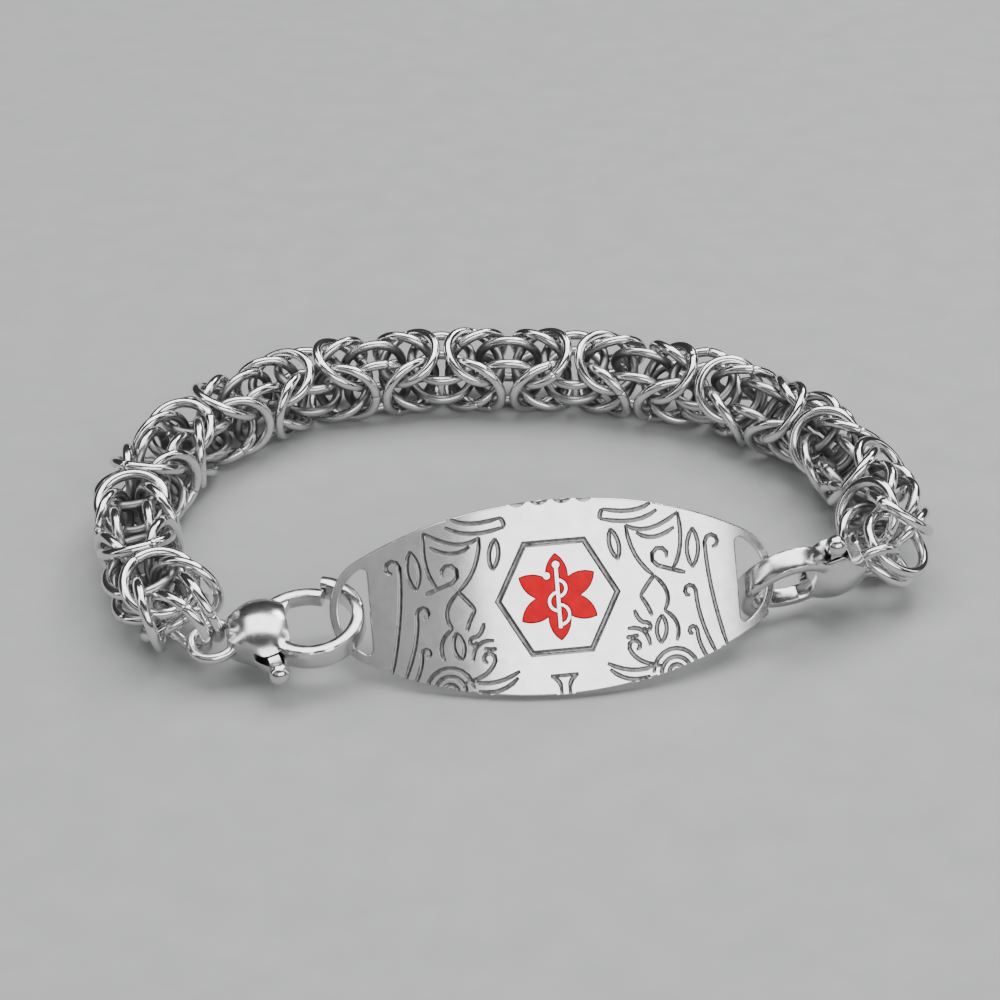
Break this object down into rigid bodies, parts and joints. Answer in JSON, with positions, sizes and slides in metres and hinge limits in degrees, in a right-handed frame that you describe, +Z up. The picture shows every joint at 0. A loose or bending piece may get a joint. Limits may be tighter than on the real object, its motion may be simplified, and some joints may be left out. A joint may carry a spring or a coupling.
{
  "type": "engraved bracelet",
  "caption": "Steel identity bracelet: curved engraved plate with red enamel, a lobster clasp at each end and a Byzantine chain.",
  "frame": {"origin": "on the surface the bracelet lies on, under the middle of its bounding box", "axes": "+Z up from the surface, +X along the plate from its left end to its right as the plate is read, +Y from the plate to the back of the chain"},
  "size_m": [0.0856, 0.0614, 0.0162],
  "materials": {
    "plate_steel": "fine satin polish, dark in the engraved lines",
    "clasp_steel": "mirror polish",
    "chain_steel": "polished wire",
    "red_enamel": "glossy enamel"
  },
  "bodies": {
    "bracelet": {"id_plate": "plate_steel", "enamel": "red_enamel", "left_clasp": "clasp_steel", "right_clasp": "clasp_steel", "byzantine_chain": "chain_steel"},
    "left_lever": {"left_lever": "clasp_steel"},
    "right_lever": {"right_lever": "clasp_steel"}
  },
  "joints": [
    {"name": "left_lever_hinge", "type": "hinge", "parent": "bracelet", "child": "left_lever", "pos_m": [-0.02315, -0.02526, 0.00421], "axis": [0.0571, 0.2289, -0.9718], "range_deg": [0, 8], "stiffness_Nm_per_rad": 0.01, "springref_deg": -8.59},
    {"name": "right_lever_hinge", "type": "hinge", "parent": "bracelet", "child": "right_lever", "pos_m": [0.03159, -0.01622, 0.00618], "axis": [-0.3059, 0.8342, 0.4589], "range_deg": [0, 10], "stiffness_Nm_per_rad": 0.01, "springref_deg": -8.59}
  ]
}
